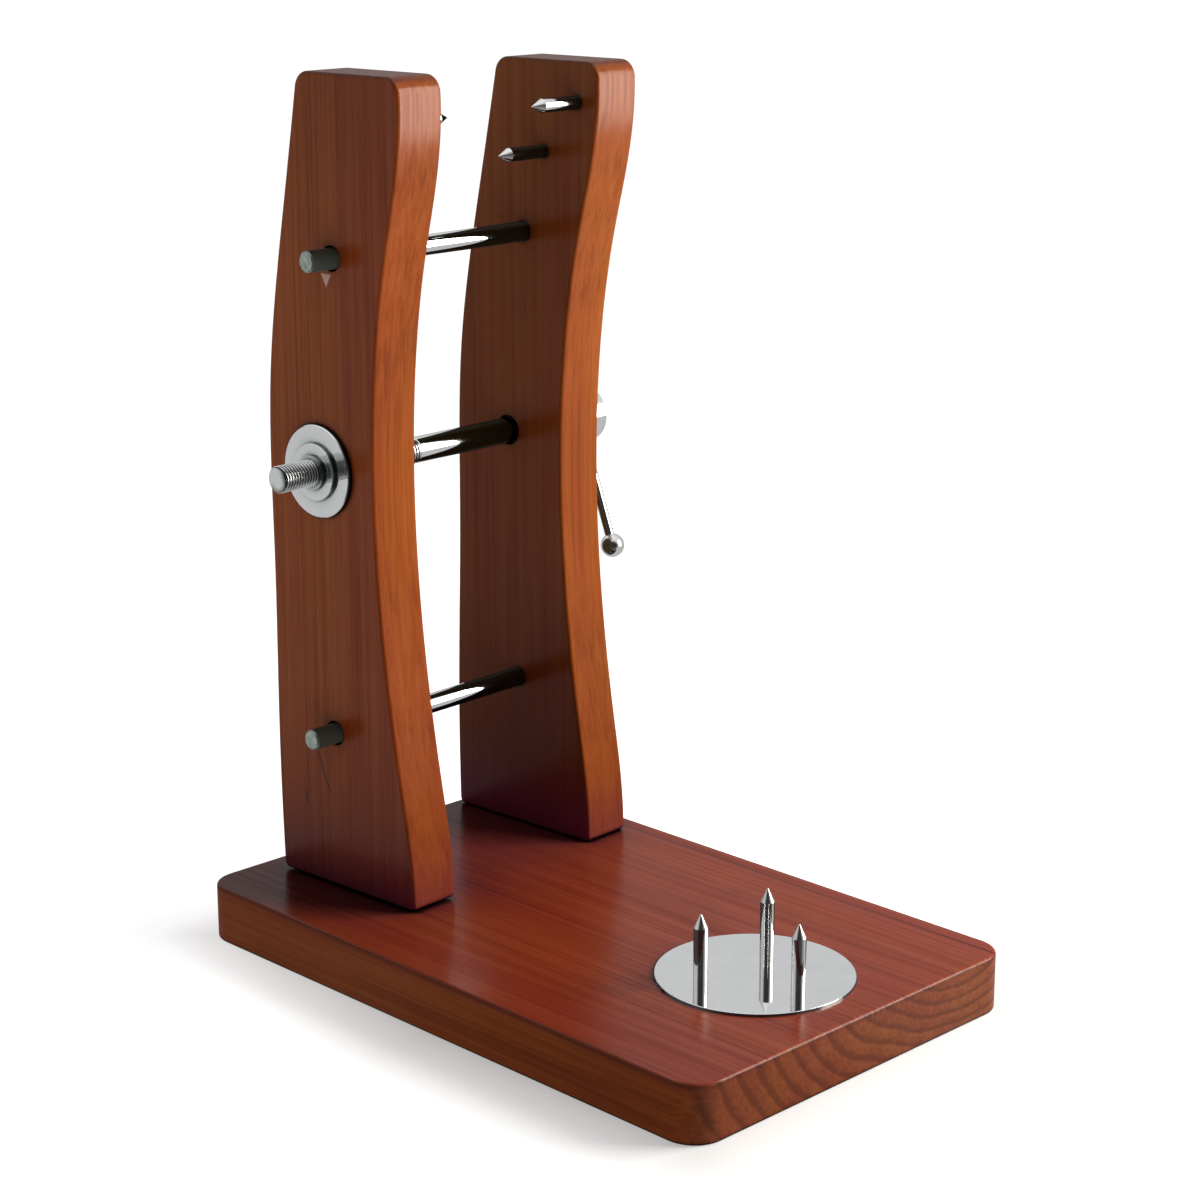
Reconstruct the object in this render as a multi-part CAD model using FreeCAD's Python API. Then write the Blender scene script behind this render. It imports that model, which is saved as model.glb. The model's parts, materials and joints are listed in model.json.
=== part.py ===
"""Vertical ham stand: a wooden base, two bowed uprights and a screw clamp that closes them.

Millimetres, +Z up. The origin is the centre of the base's underside and -Y is the front, where the
spiked plate is. The clamp (uprights, rods, spindle) is drawn square in its own directions, X along
its rods from the sliding left upright to the fixed right one, then turned a little on the base.
"""
import FreeCAD, Part
import math
import os

from FreeCAD import Vector

X_AXIS = Vector(1, 0, 0)
Y_AXIS = Vector(0, 1, 0)
Z_AXIS = Vector(0, 0, 1)

# Base board
BASE_LENGTH = 400.0
BASE_WIDTH = 255.0
BASE_THICKNESS = 34.0
BASE_CORNER_RADIUS = 19.0
EASED_EDGE = 1.8

# How the clamp stands on the base: turned about this upright line
CLAMP_TURN = 3.0
CLAMP_CENTRE = Vector(0, 130, 0)

# Uprights: two equal bowed boards; the left one leans back and the right one forward
UPRIGHT_THICKNESS = 33.0
LEFT_OUTER_X = -77.0
RIGHT_INNER_X = 76.0
LEFT_INNER_X = LEFT_OUTER_X + UPRIGHT_THICKNESS
RIGHT_OUTER_X = RIGHT_INNER_X + UPRIGHT_THICKNESS
UPRIGHT_TOP_Z = 507.0
UPRIGHT_LEAN = 0.0094
LEAN_PIVOT_Z = 272.0
SLIDING_GAP = 1.0
TOP_CORNER_RADIUS = 10.0
FOOT_CORNER_RADIUS = 4.0
# (y, z) of the bowed edges, foot to top; the foot's points are on the base's top face
FRONT_EDGE = [(77.3, 34), (79.2, 64), (86.1, 107), (99.2, 207), (101, 317), (89, 407), (77.5, 457),
              (75, 507)]
BACK_EDGE = [(189.4, 34), (190.6, 112), (188.7, 227), (186.5, 332), (170.8, 427), (155, 507)]

# Rods through the uprights: (y, z)
GUIDE_DIAMETER = 12.0
UPPER_GUIDE = (132.0, 406.0)
LOWER_GUIDE = (139.0, 129.6)
GUIDE_LEFT_X = -95.7
GUIDE_SOCKET_DEPTH = 24.0
ROD_CHAMFER = 1.0
RUNNING_CLEARANCE = 0.05
RELIEF_CLEARANCE = 1.4
RELIEF_DEPTH = 3.0

# Clamp spindle and its thread (M16 x 2, right-handed)
SPINDLE_DIAMETER = 15.6
SPINDLE_AXIS = (145.8, 284.3)
SPINDLE_LEFT_X = -109.2
THREAD_END_X = -4.0
THREAD_PITCH = 2.0
THREAD_DEPTH = 1.1
# Half the width of a thread's crest, as a share of the pitch
CREST_SHARE = 0.1

# Washers and the flanged nut
WASHER_DIAMETER = 53.5
WASHER_THICKNESS = 3.0
WASHER_CHAMFER = 0.5
THRUST_WASHER_PLAY = 1.0
NUT_FLANGE_DIAMETER = 33.0
NUT_FLANGE_THICKNESS = 2.5
NUT_FLANGE_ROUNDING = 0.6
NUT_NECK_DIAMETER = 20.0
NUT_NECK_LENGTH = 2.0
NUT_SLEEVE_DIAMETER = 21.0
NUT_SLEEVE_LENGTH = 34.0

# Spindle head and tommy bar
HEAD_DIAMETER = 34.0
HEAD_LENGTH = 32.0
HEAD_COLLAR_DIAMETER = 24.0
HEAD_COLLAR_LENGTH = 4.0
HEAD_GAP = 0.1
HEAD_CHAMFER = 1.5
HEAD_SOCKET_DEPTH = 16.0
BAR_FROM_HEAD_END = 10.0
BAR_DIAMETER = 6.0
BAR_TILT = 20.5
BALL_DIAMETER = 15.0
LOWER_BALL_REACH = 84.2
BALL_REST_GAP = 0.1
BALL_HOLE_PAST_CENTRE = 2.0

# Spikes
SPIKE_DIAMETER = 8.0
SPIKE_EXPOSED = 37.0
SPIKE_POINT = 7.6
SPIKE_TIP_RADIUS = 0.4
JAW_TAIL_DIAMETER = 5.0
JAW_TAIL_LENGTH = 20.0
RIGHT_SPIKES = {"right_upper_spike": (88.6, 483.6), "right_lower_spike": (115.0, 454.1)}
LEFT_SPIKES = {"left_upper_spike": (110.7, 479.3), "left_lower_spike": (137.1, 449.8)}

# Round plate with three spikes
DISC_DIAMETER = 110.0
DISC_THICKNESS = 1.5
DISC_RIM_ROUNDING = 0.4
DISC_Y = -124.3
SPIKE_CIRCLE_RADIUS = 31.0
BASE_SPIKE_ANGLES = {"base_spike_front": -90.0, "base_spike_left": 150.0, "base_spike_right": 30.0}
BASE_TAIL_DIAMETER = 6.0
BASE_TAIL_PITCH = 1.0
BASE_TAIL_THREAD_DEPTH = 0.6
BASE_TAIL_THREAD_LENGTH = 10.0
BASE_TAIL_END_Z = 1.5
FIXED_CLEARANCE = 0.03

# Nuts and washers under the base, one per base spike
COUNTERBORE_DIAMETER = 17.0
COUNTERBORE_DEPTH = 9.0
SMALL_WASHER_DIAMETER = 14.0
SMALL_WASHER_THICKNESS = 1.6
SMALL_WASHER_PLAY = 0.2
NUT_ACROSS_FLATS = 10.0
NUT_HEIGHT = 5.0

# Furniture screws from the base into the right upright
SCREW_Y = (102.0, 164.0)
SCREW_X = RIGHT_INNER_X + UPRIGHT_THICKNESS / 2
SCREW_DIAMETER = 5.0
SCREW_LENGTH = 62.0
SCREW_HEAD_DIAMETER = 10.0
SCREW_HEAD_HEIGHT = 4.0
SCREW_HEAD_RIM = 1.0
SCREW_HEAD_RECESS = 2.0
SCREW_SOCKET_FLATS = 4.0
SCREW_SOCKET_DEPTH = 2.5

# How far a cutting tool runs past the face it opens, and how near counts as the same place
OVERSHOOT = 1.0
NEAR = 1.0
# Directions whose cosine is above this count as parallel
PARALLEL = 0.99
HEXAGON_SIDES = 6


def on_base(shape):
    """The shape turned from the clamp's own directions to its place on the base."""
    placed = shape.copy()
    placed.rotate(CLAMP_CENTRE, Z_AXIS, CLAMP_TURN)
    return placed


def rod_x(diameter, start_x, end_x, centre):
    """Cylinder along X between two x places, on the (y, z) centre."""
    return Part.makeCylinder(diameter / 2, end_x - start_x, Vector(start_x, *centre), X_AXIS)


def rod_z(diameter, low_z, high_z, centre):
    """Cylinder along Z between two heights, on the (x, y) centre."""
    return Part.makeCylinder(diameter / 2, high_z - low_z, Vector(*centre, low_z), Z_AXIS)


def turned(profile):
    """Solid turned about the Z axis from (radius, height) points, closed along the axis."""
    points = [Vector(radius, 0, height) for radius, height in profile]
    points.append(points[0])
    face = Part.Face(Part.makePolygon(points))
    return face.revolve(Vector(0, 0, 0), Z_AXIS, 360)


def hexagon(across_flats, height, foot):
    """Hexagonal prism standing on the given centre of its foot."""
    radius = across_flats / math.sqrt(3)
    points = []
    for step in range(HEXAGON_SIDES + 1):
        angle = math.radians(360 / HEXAGON_SIDES * step)
        points.append(foot + Vector(radius * math.cos(angle), radius * math.sin(angle), 0))
    return Part.Face(Part.makePolygon(points)).extrude(Z_AXIS * height)


def thread_profile(diameter, depth, pitch, low, high):
    """(radius, height) points of a threaded stretch, drawn as one V groove per pitch."""
    points = []
    grooves = int((high - low) / pitch)
    for groove in range(grooves):
        height = low + groove * pitch
        points.append((diameter / 2, height + CREST_SHARE * pitch))
        points.append((diameter / 2 - depth, height + pitch / 2))
        points.append((diameter / 2, height + (1 - CREST_SHARE) * pitch))
    return points


def leaning(edge, lean):
    """The (y, z) points of an edge as vectors in the YZ plane, sheared to the given lean."""
    return [Vector(0, y + lean * (z - LEAN_PIVOT_Z), z) for y, z in edge]


def bowed_outline(lean):
    """Face of an upright's outline in the YZ plane at x = 0."""
    front_points = leaning(FRONT_EDGE, lean)
    back_points = leaning(BACK_EDGE, lean)
    front = Part.BSplineCurve()
    front.interpolate(front_points)
    back = Part.BSplineCurve()
    back.interpolate(back_points)
    foot = Part.makeLine(front_points[0], back_points[0])
    top = Part.makeLine(front_points[-1], back_points[-1])
    wire = Part.Wire([foot, back.toShape(), top, front.toShape()])
    return Part.Face(wire)


def corner_edges(board, height):
    """The board's edges along X near the given height."""
    found = []
    for edge in board.Edges:
        direction = edge.Vertexes[-1].Point - edge.Vertexes[0].Point
        along_x = abs(direction.x) > UPRIGHT_THICKNESS - NEAR
        if along_x and abs(edge.CenterOfMass.z - height) < NEAR:
            found.append(edge)
    return found


def bowed_board(outer_x, foot_gap, lean):
    """An upright with rounded corners and eased edges, without its holes."""
    board = bowed_outline(lean).extrude(X_AXIS * UPRIGHT_THICKNESS)
    board.translate(Vector(outer_x, 0, 0))
    if foot_gap:
        corner = Vector(outer_x - OVERSHOOT, 0, BASE_THICKNESS)
        board = board.cut(Part.makeBox(BASE_WIDTH, BASE_LENGTH, foot_gap, corner))
    board = board.makeFillet(TOP_CORNER_RADIUS, corner_edges(board, UPRIGHT_TOP_Z))
    board = board.makeFillet(FOOT_CORNER_RADIUS, corner_edges(board, BASE_THICKNESS + foot_gap))
    rims = []
    for face in board.Faces:
        if abs(face.normalAt(0, 0).x) > PARALLEL:
            rims.extend(face.OuterWire.Edges)
    return board.makeFillet(EASED_EDGE, rims)


def base_board():
    """Rounded rectangular board with eased edges and the holes for what is screwed to it."""
    corner = Vector(-BASE_WIDTH / 2, -BASE_LENGTH / 2, 0)
    board = Part.makeBox(BASE_WIDTH, BASE_LENGTH, BASE_THICKNESS, corner)
    upright_edges = [edge for edge in board.Edges if abs(edge.tangentAt(0).z) > PARALLEL]
    board = board.makeFillet(BASE_CORNER_RADIUS, upright_edges)
    rims = []
    for face in board.Faces:
        if abs(face.normalAt(0, 0).z) > PARALLEL:
            rims.extend(face.OuterWire.Edges)
    board = board.makeFillet(EASED_EDGE, rims)
    tail_hole = BASE_TAIL_DIAMETER + 2 * FIXED_CLEARANCE
    head_hole = SCREW_HEAD_DIAMETER + 2 * FIXED_CLEARANCE
    cuts = []
    for centre in base_spike_centres().values():
        cuts.append(rod_z(tail_hole, -OVERSHOOT, BASE_THICKNESS + OVERSHOOT, centre))
        cuts.append(rod_z(COUNTERBORE_DIAMETER, -OVERSHOOT, COUNTERBORE_DEPTH, centre))
    for y in SCREW_Y:
        cuts.append(on_base(screw_solid(y, FIXED_CLEARANCE, False)))
        cuts.append(on_base(rod_z(head_hole, -OVERSHOOT, SCREW_HEAD_RECESS, (SCREW_X, y))))
    return board.cut(cuts)


def spike_socket(centre, inner_x, direction):
    """Drilled hole for the tail of a jaw spike; direction is +1 or -1 along X, into the wood."""
    start = Vector(inner_x - direction * OVERSHOOT, *centre)
    depth = JAW_TAIL_LENGTH + OVERSHOOT
    return Part.makeCylinder(JAW_TAIL_DIAMETER / 2 + FIXED_CLEARANCE, depth, start, X_AXIS * direction)


def left_upright():
    """The sliding jaw's board: guide holes with a relief at the outer face, and the nut's hole."""
    cuts = []
    for centre in (UPPER_GUIDE, LOWER_GUIDE):
        hole = GUIDE_DIAMETER + 2 * RUNNING_CLEARANCE
        relief = GUIDE_DIAMETER + 2 * RELIEF_CLEARANCE
        cuts.append(rod_x(hole, LEFT_OUTER_X - OVERSHOOT, LEFT_INNER_X + OVERSHOOT, centre))
        cuts.append(rod_x(relief, LEFT_OUTER_X - OVERSHOOT, LEFT_OUTER_X + RELIEF_DEPTH, centre))
    nut_hole = NUT_SLEEVE_DIAMETER + 2 * FIXED_CLEARANCE
    cuts.append(rod_x(nut_hole, LEFT_OUTER_X - OVERSHOOT, LEFT_INNER_X + OVERSHOOT, SPINDLE_AXIS))
    for centre in LEFT_SPIKES.values():
        cuts.append(spike_socket(centre, LEFT_INNER_X, -1))
    return bowed_board(LEFT_OUTER_X, SLIDING_GAP, UPRIGHT_LEAN).cut(cuts)


def right_upright():
    """The fixed board: blind sockets for the guides, the spindle's hole, and screw holes below."""
    cuts = []
    for centre in (UPPER_GUIDE, LOWER_GUIDE):
        hole = GUIDE_DIAMETER + 2 * FIXED_CLEARANCE
        cuts.append(rod_x(hole, RIGHT_INNER_X - OVERSHOOT, RIGHT_INNER_X + GUIDE_SOCKET_DEPTH, centre))
    spindle_hole = SPINDLE_DIAMETER + 2 * RUNNING_CLEARANCE
    relief = SPINDLE_DIAMETER + 2 * RELIEF_CLEARANCE
    cuts.append(rod_x(spindle_hole, RIGHT_INNER_X - OVERSHOOT, RIGHT_OUTER_X + OVERSHOOT, SPINDLE_AXIS))
    cuts.append(rod_x(relief, RIGHT_INNER_X - OVERSHOOT, RIGHT_INNER_X + RELIEF_DEPTH, SPINDLE_AXIS))
    for centre in RIGHT_SPIKES.values():
        cuts.append(spike_socket(centre, RIGHT_INNER_X, 1))
    for y in SCREW_Y:
        cuts.append(screw_solid(y, FIXED_CLEARANCE, False))
    return bowed_board(RIGHT_INNER_X, 0, -UPRIGHT_LEAN).cut(cuts)


def guide_rod(centre):
    """Plain rod with chamfered ends, fixed in the right upright's socket."""
    end_x = RIGHT_INNER_X + GUIDE_SOCKET_DEPTH
    rod = rod_x(GUIDE_DIAMETER, GUIDE_LEFT_X, end_x, centre)
    ends = [edge for edge in rod.Edges if abs(edge.CenterOfMass.x - GUIDE_LEFT_X) < NEAR]
    return rod.makeChamfer(ROD_CHAMFER, ends)


def clamp_spindle():
    """Smooth shank with a threaded left end; the right end sits in the head's socket."""
    end_x = head_start_x() + HEAD_SOCKET_DEPTH
    length = end_x - SPINDLE_LEFT_X
    radius = SPINDLE_DIAMETER / 2
    thread_length = THREAD_END_X - SPINDLE_LEFT_X
    profile = [(0, 0), (radius - THREAD_DEPTH, 0), (radius, THREAD_DEPTH)]
    profile += thread_profile(SPINDLE_DIAMETER, THREAD_DEPTH, THREAD_PITCH, THREAD_PITCH, thread_length)
    profile += [(radius, length - ROD_CHAMFER), (radius - ROD_CHAMFER, length), (0, length)]
    spindle = turned(profile)
    spindle.rotate(Vector(0, 0, 0), Y_AXIS, 90)
    spindle.translate(Vector(SPINDLE_LEFT_X, *SPINDLE_AXIS))
    return spindle


def flat_washer(diameter, hole, thickness, start_x):
    """Washer on the spindle's axis with a lightly chamfered outer rim."""
    washer = rod_x(diameter, start_x, start_x + thickness, SPINDLE_AXIS)
    rims = [edge for edge in washer.Edges if edge.Closed]
    washer = washer.makeChamfer(WASHER_CHAMFER, rims)
    bore = rod_x(hole, start_x - OVERSHOOT, start_x + thickness + OVERSHOOT, SPINDLE_AXIS)
    return washer.cut(bore)


def left_washer():
    """Large polished washer under the nut's flange, held to the left upright."""
    hole = NUT_SLEEVE_DIAMETER + 2 * FIXED_CLEARANCE
    return flat_washer(WASHER_DIAMETER, hole, WASHER_THICKNESS, LEFT_OUTER_X - WASHER_THICKNESS)


def right_washer():
    """Thrust washer on the right upright, which the spindle's head bears on."""
    hole = SPINDLE_DIAMETER + THRUST_WASHER_PLAY
    return flat_washer(WASHER_DIAMETER, hole, WASHER_THICKNESS, RIGHT_OUTER_X)


def clamp_nut():
    """Round flanged nut: a neck, a flange on the washer and a sleeve through the wood."""
    flange_x = LEFT_OUTER_X - WASHER_THICKNESS
    flange = rod_x(NUT_FLANGE_DIAMETER, flange_x - NUT_FLANGE_THICKNESS, flange_x, SPINDLE_AXIS)
    neck_x = flange_x - NUT_FLANGE_THICKNESS
    rim = [edge for edge in flange.Edges if edge.Closed and abs(edge.CenterOfMass.x - neck_x) < NEAR]
    flange = flange.makeFillet(NUT_FLANGE_ROUNDING, rim)
    neck = rod_x(NUT_NECK_DIAMETER, neck_x - NUT_NECK_LENGTH, neck_x, SPINDLE_AXIS)
    sleeve = rod_x(NUT_SLEEVE_DIAMETER, flange_x, flange_x + NUT_SLEEVE_LENGTH, SPINDLE_AXIS)
    bore_diameter = SPINDLE_DIAMETER + 2 * RUNNING_CLEARANCE
    bore = rod_x(bore_diameter, SPINDLE_LEFT_X, LEFT_INNER_X + OVERSHOOT, SPINDLE_AXIS)
    return flange.fuse([neck, sleeve]).removeSplitter().cut(bore)


def head_start_x():
    """Where the head's collar begins, just clear of the thrust washer."""
    return RIGHT_OUTER_X + WASHER_THICKNESS + HEAD_GAP


def head_centre():
    """Where the tommy bar's axis crosses the spindle's axis."""
    x = head_start_x() + HEAD_COLLAR_LENGTH + HEAD_LENGTH - BAR_FROM_HEAD_END
    return Vector(x, *SPINDLE_AXIS)


def bar_direction():
    """Unit vector along the tommy bar, towards its upper ball."""
    tilt = math.radians(BAR_TILT)
    return Vector(0, math.sin(tilt), math.cos(tilt))


def spindle_head():
    """Round head with a collar, a socket for the spindle and a cross hole for the tommy bar."""
    collar_x = head_start_x()
    barrel_x = collar_x + HEAD_COLLAR_LENGTH
    barrel = rod_x(HEAD_DIAMETER, barrel_x, barrel_x + HEAD_LENGTH, SPINDLE_AXIS)
    rims = [edge for edge in barrel.Edges if edge.Closed and edge.Length > HEAD_DIAMETER]
    barrel = barrel.makeChamfer(HEAD_CHAMFER, rims)
    collar = rod_x(HEAD_COLLAR_DIAMETER, collar_x, barrel_x, SPINDLE_AXIS)
    hole_radius = BAR_DIAMETER / 2 + RUNNING_CLEARANCE
    start = head_centre() - bar_direction() * HEAD_DIAMETER
    cross_hole = Part.makeCylinder(hole_radius, 2 * HEAD_DIAMETER, start, bar_direction())
    socket_diameter = SPINDLE_DIAMETER + 2 * FIXED_CLEARANCE
    socket_end_x = collar_x + HEAD_SOCKET_DEPTH
    socket = rod_x(socket_diameter, collar_x - OVERSHOOT, socket_end_x, SPINDLE_AXIS)
    return barrel.fuse(collar).removeSplitter().cut([socket, cross_hole])


def upper_ball_reach():
    """Distance from the head's centre to the upper ball's centre, with that ball on the head."""
    return HEAD_DIAMETER / 2 + BALL_DIAMETER / 2 + BALL_REST_GAP


def tommy_bar():
    """Bar from ball to ball, its ends inside the balls."""
    low = head_centre() - bar_direction() * (LOWER_BALL_REACH + BALL_HOLE_PAST_CENTRE)
    length = LOWER_BALL_REACH + upper_ball_reach() + 2 * BALL_HOLE_PAST_CENTRE
    return Part.makeCylinder(BAR_DIAMETER / 2, length, low, bar_direction())


def bar_ball(reach):
    """Ball with a blind hole for the bar; reach is signed along the bar from the head's centre."""
    centre = head_centre() + bar_direction() * reach
    inwards = bar_direction() * -math.copysign(1, reach)
    ball = Part.makeSphere(BALL_DIAMETER / 2, centre)
    hole_end = centre - inwards * BALL_HOLE_PAST_CENTRE
    hole = Part.makeCylinder(BAR_DIAMETER / 2 + FIXED_CLEARANCE, BALL_DIAMETER, hole_end, inwards)
    return ball.cut(hole)


def spike_profile(tail_diameter, tail_length, tail_thread):
    """(radius, height) outline of a spike: tail below 0, shank and point above it."""
    radius = SPIKE_DIAMETER / 2
    tail = tail_diameter / 2
    shoulder = SPIKE_EXPOSED - SPIKE_POINT
    below = [(0, -tail_length), (tail, -tail_length), *tail_thread, (tail, 0)]
    above = [(radius, 0), (radius, shoulder), (SPIKE_TIP_RADIUS, SPIKE_EXPOSED), (0, SPIKE_EXPOSED)]
    return below + above


def jaw_spike(centre, inner_x, direction):
    """Spike on an upright's inner face; direction is +1 or -1 along X, towards the gap."""
    spike = turned(spike_profile(JAW_TAIL_DIAMETER, JAW_TAIL_LENGTH, []))
    spike.rotate(Vector(0, 0, 0), Y_AXIS, 90 * direction)
    spike.translate(Vector(inner_x, *centre))
    return spike


def base_spike_centres():
    """(x, y) of each base spike, on a circle around the plate's centre."""
    centres = {}
    for name, degrees in BASE_SPIKE_ANGLES.items():
        angle = math.radians(degrees)
        x = SPIKE_CIRCLE_RADIUS * math.cos(angle)
        y = DISC_Y + SPIKE_CIRCLE_RADIUS * math.sin(angle)
        centres[name] = (x, y)
    return centres


def base_spike(centre):
    """Spike standing on the plate, with a threaded tail that reaches the nut under the base."""
    foot_z = BASE_THICKNESS + DISC_THICKNESS
    tail_length = foot_z - BASE_TAIL_END_Z
    thread_top = BASE_TAIL_THREAD_LENGTH - tail_length
    thread = thread_profile(BASE_TAIL_DIAMETER, BASE_TAIL_THREAD_DEPTH, BASE_TAIL_PITCH,
                            -tail_length, thread_top)
    spike = turned(spike_profile(BASE_TAIL_DIAMETER, tail_length, thread))
    spike.translate(Vector(*centre, foot_z))
    return spike


def spike_disc():
    """Thin round plate with a hole for each spike's tail."""
    top_z = BASE_THICKNESS + DISC_THICKNESS
    disc = rod_z(DISC_DIAMETER, BASE_THICKNESS, top_z, (0, DISC_Y))
    rim = [edge for edge in disc.Edges if edge.Closed and abs(edge.CenterOfMass.z - top_z) < NEAR]
    disc = disc.makeFillet(DISC_RIM_ROUNDING, rim)
    hole = BASE_TAIL_DIAMETER + 2 * FIXED_CLEARANCE
    holes = [rod_z(hole, 0, top_z + OVERSHOOT, centre) for centre in base_spike_centres().values()]
    return disc.cut(holes)


def spike_washers():
    """The small washers at the bottoms of the counterbores."""
    low_z = COUNTERBORE_DEPTH - SMALL_WASHER_THICKNESS
    hole = BASE_TAIL_DIAMETER + 2 * SMALL_WASHER_PLAY
    washers = []
    for centre in base_spike_centres().values():
        disc = rod_z(SMALL_WASHER_DIAMETER, low_z, COUNTERBORE_DEPTH, centre)
        washers.append(disc.cut(rod_z(hole, 0, BASE_THICKNESS, centre)))
    return Part.makeCompound(washers)


def spike_nuts():
    """The hexagon nuts that pull the spikes down, one per spike."""
    top_z = COUNTERBORE_DEPTH - SMALL_WASHER_THICKNESS
    hole = BASE_TAIL_DIAMETER + 2 * FIXED_CLEARANCE
    nuts = []
    for centre in base_spike_centres().values():
        nut = hexagon(NUT_ACROSS_FLATS, NUT_HEIGHT, Vector(*centre, top_z - NUT_HEIGHT))
        nuts.append(nut.cut(rod_z(hole, 0, BASE_THICKNESS, centre)))
    return Part.makeCompound(nuts)


def screw_solid(y, grow, with_socket):
    """Countersunk furniture screw, pointing up; grow is added to every radius."""
    head_z = SCREW_HEAD_RECESS
    neck_z = head_z + SCREW_HEAD_HEIGHT
    radius = SCREW_DIAMETER / 2 + grow
    head_radius = SCREW_HEAD_DIAMETER / 2 + grow
    tip_z = head_z + SCREW_LENGTH
    profile = [(0, head_z), (head_radius, head_z), (head_radius, head_z + SCREW_HEAD_RIM),
               (radius, neck_z), (radius, tip_z - SCREW_DIAMETER), (0, tip_z + grow)]
    screw = turned(profile)
    screw.translate(Vector(SCREW_X, y, 0))
    if with_socket:
        foot = Vector(SCREW_X, y, head_z - OVERSHOOT)
        screw = screw.cut(hexagon(SCREW_SOCKET_FLATS, SCREW_SOCKET_DEPTH + OVERSHOOT, foot))
    return screw


def upright_screws():
    """Both furniture screws."""
    return Part.makeCompound([screw_solid(y, 0, True) for y in SCREW_Y])


def base_nodes():
    """The base, its round plate and what holds the plate's spikes."""
    nodes = {
        "base_board": base_board(),
        "spike_disc": spike_disc(),
        "spike_washers": spike_washers(),
        "spike_nuts": spike_nuts(),
    }
    for name, centre in base_spike_centres().items():
        nodes[name] = base_spike(centre)
    return nodes


def clamp_nodes():
    """The uprights and everything on them, in the clamp's own directions."""
    nodes = {
        "left_upright": left_upright(),
        "right_upright": right_upright(),
        "upper_guide_rod": guide_rod(UPPER_GUIDE),
        "lower_guide_rod": guide_rod(LOWER_GUIDE),
        "clamp_spindle": clamp_spindle(),
        "left_washer": left_washer(),
        "right_washer": right_washer(),
        "clamp_nut": clamp_nut(),
        "spindle_head": spindle_head(),
        "tommy_bar": tommy_bar(),
        "lower_ball": bar_ball(-LOWER_BALL_REACH),
        "upper_ball": bar_ball(upper_ball_reach()),
        "upright_screws": upright_screws(),
    }
    for name, centre in RIGHT_SPIKES.items():
        nodes[name] = jaw_spike(centre, RIGHT_INNER_X, -1)
    for name, centre in LEFT_SPIKES.items():
        nodes[name] = jaw_spike(centre, LEFT_INNER_X, 1)
    return nodes


all_nodes = base_nodes()
for node, shape in clamp_nodes().items():
    all_nodes[node] = on_base(shape)

os.makedirs("parts", exist_ok=True)
for node, shape in all_nodes.items():
    if not shape.isValid():
        raise ValueError(node + " is not a valid shape")
    shape.exportStep("parts/" + node + ".step")
    print(node, len(shape.Solids), round(shape.Volume))
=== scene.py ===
"""Looks for the vertical ham stand: stained wood, chrome and mirror-polished steel on a pale floor."""
import json
import math

import bmesh
import bpy
from mathutils import Matrix, Vector


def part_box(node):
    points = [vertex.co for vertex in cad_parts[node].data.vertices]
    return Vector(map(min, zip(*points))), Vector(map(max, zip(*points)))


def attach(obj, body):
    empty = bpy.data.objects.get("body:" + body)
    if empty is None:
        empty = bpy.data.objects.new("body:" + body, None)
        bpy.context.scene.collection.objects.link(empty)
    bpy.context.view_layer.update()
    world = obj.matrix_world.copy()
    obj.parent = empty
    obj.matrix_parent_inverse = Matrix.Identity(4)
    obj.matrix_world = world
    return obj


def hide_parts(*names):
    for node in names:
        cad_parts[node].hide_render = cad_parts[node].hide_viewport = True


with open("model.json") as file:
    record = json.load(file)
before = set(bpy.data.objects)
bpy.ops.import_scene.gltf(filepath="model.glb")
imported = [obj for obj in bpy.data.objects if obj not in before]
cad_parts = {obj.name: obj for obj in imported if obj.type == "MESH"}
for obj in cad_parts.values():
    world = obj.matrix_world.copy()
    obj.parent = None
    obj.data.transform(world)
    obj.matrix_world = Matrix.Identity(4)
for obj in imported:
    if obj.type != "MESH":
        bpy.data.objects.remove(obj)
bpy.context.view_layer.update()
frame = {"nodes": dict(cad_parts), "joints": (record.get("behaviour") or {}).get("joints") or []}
cad_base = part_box("base_board")
nodes = frame["nodes"]

# Lengths are in metres, angles in degrees
MM = 0.001

# Camera: from which side and height it looks, at which point, from how far away, and its lens
VIEW_AZIMUTH = -44.84
VIEW_ELEVATION = 15.4
VIEW_POINT = Vector((0.0049, 0.0, 0.220))
VIEW_DISTANCE = 1.508
LENS_MM = 81.15
SENSOR_MM = 36.0

# Light: the key softbox, and how bright the floor and the air are to diffuse light
KEY_PLACE = Vector((0.93, -0.91, 0.66))
KEY_TARGET = Vector((0, 0, 0.25))
KEY_WIDTH = 0.8
KEY_HEIGHT = 1.18
KEY_RADIANCE = 1.32
KEY_COLOUR = (1.0, 0.975, 0.90)
FLOOR_BOUNCE = 0.53
AMBIENT = 0.07

# The surroundings as metal mirrors them: dark around the camera, pale elsewhere
DARK_SIDE = 0.06
FLOOR_MIRRORED = 0.58
WALLS_MIRRORED = [(0.0, 0.5), (0.5, 0.5), (0.7, 0.62), (0.85, 0.8), (1.0, 1.0)]

# The floor: half its width, its brightness at shares of SHADOW_REACH from the base, and how much nearer
# the shadow fades at the back
FLOOR_REACH = 30.0
SHADOW_REACH = 0.2
SHADOW_BACK = 0.04
SHADOW_LEVELS = [(0.0, 0.42), (0.15, 0.60), (0.33, 0.88), (0.55, 1.0)]

# The spindle's thread; the crests are flat, and crest and flank are shares of half a pitch
THREAD_PITCH = 2.0 * MM
THREAD_DEPTH = 0.9 * MM
THREAD_LENGTH = 105.2 * MM
CREST_SHARE = 0.40
FLANK_SHARE = 0.40
RINGS_PER_PITCH = 10
RING_POINTS = 48
END_CHAMFER = 1.0 * MM
SHARP_ANGLE = 50

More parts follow.
